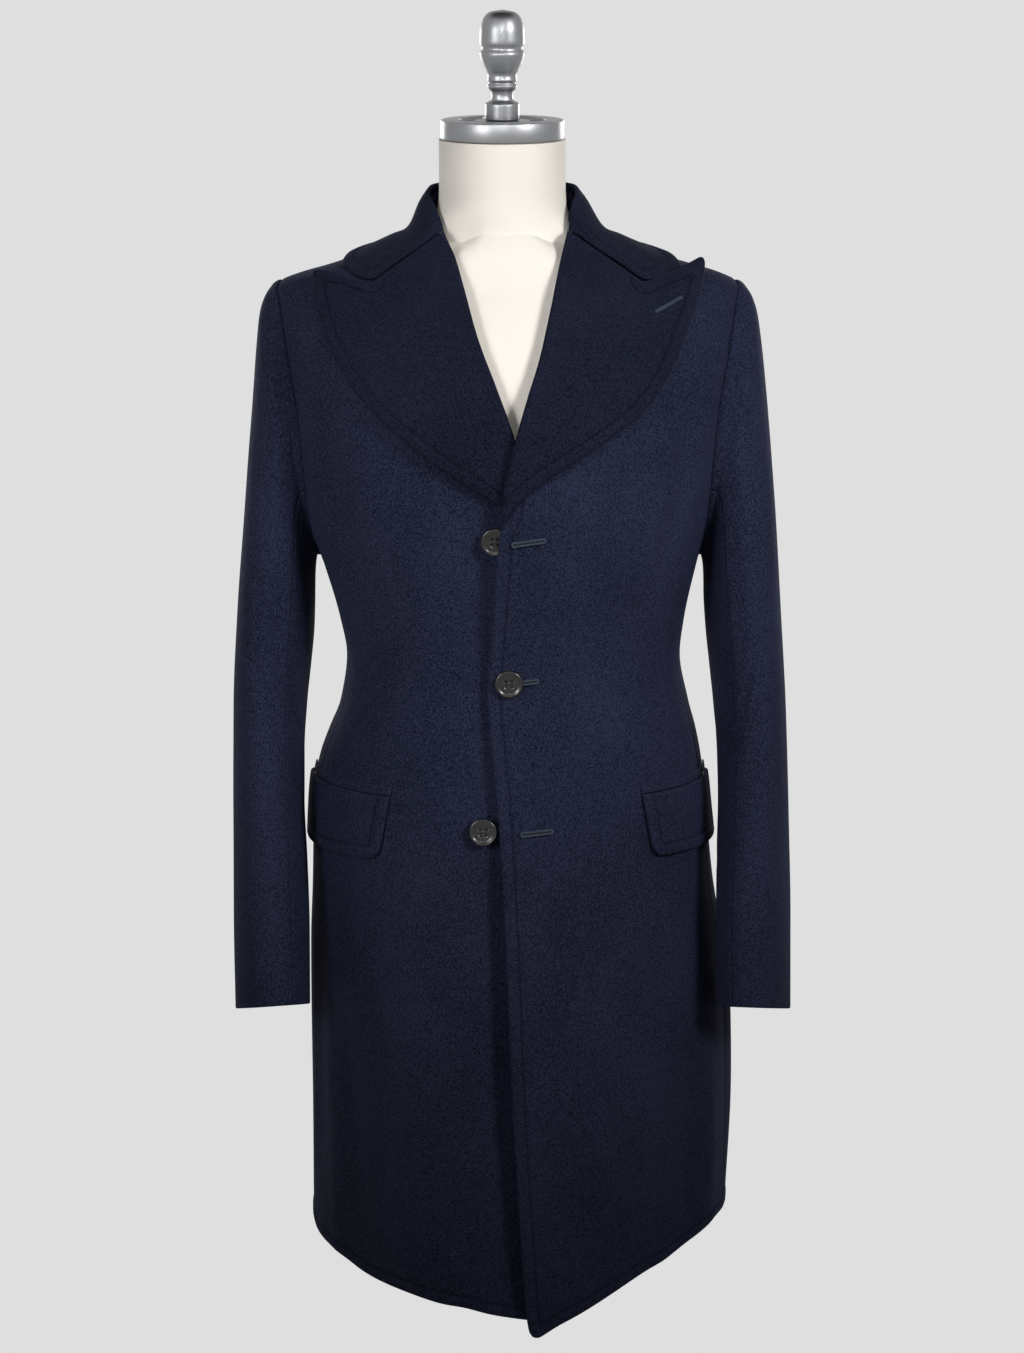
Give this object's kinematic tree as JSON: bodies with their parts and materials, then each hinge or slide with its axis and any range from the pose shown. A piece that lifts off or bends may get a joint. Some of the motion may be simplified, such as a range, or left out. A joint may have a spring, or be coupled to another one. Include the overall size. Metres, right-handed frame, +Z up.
{
  "type": "wool overcoat on a tailor's dress form",
  "caption": "Knee-length single-breasted wool overcoat with wide peak lapels and flap pockets, filled out by a limbless dress form on a low round stand.",
  "frame": {"origin": "centre of the stand base's flat underside", "axes": "+Z up, -Y towards the coat's front, +X towards the wearer's left"},
  "size_m": [0.5282, 0.3233, 1.228],
  "materials": {
    "navy_wool": "short napped wool coating, matt",
    "dark_horn": "polished dark horn",
    "cream_canvas": "smooth cream canvas",
    "brushed_metal": "turned and brushed metal"
  },
  "bodies": {
    "root": {"front_right": "navy_wool", "front_left": "navy_wool", "side_right": "navy_wool", "side_left": "navy_wool", "back_right": "navy_wool", "back_left": "navy_wool", "top_sleeve_right": "navy_wool", "top_sleeve_left": "navy_wool", "under_sleeve_right": "navy_wool", "under_sleeve_left": "navy_wool", "lapel_right": "navy_wool", "lapel_left": "navy_wool", "collar_leaf": "navy_wool", "collar_stand": "navy_wool", "pocket_flap_right": "navy_wool", "pocket_flap_left": "navy_wool", "pocket_jetting_right": "navy_wool", "pocket_jetting_left": "navy_wool", "button_top": "dark_horn", "button_middle": "dark_horn", "button_bottom": "dark_horn", "form_torso": "cream_canvas", "neck_cap": "brushed_metal", "neck_knob": "brushed_metal", "stand_pole": "brushed_metal", "stand_base": "brushed_metal"}
  },
  "joints": []
}
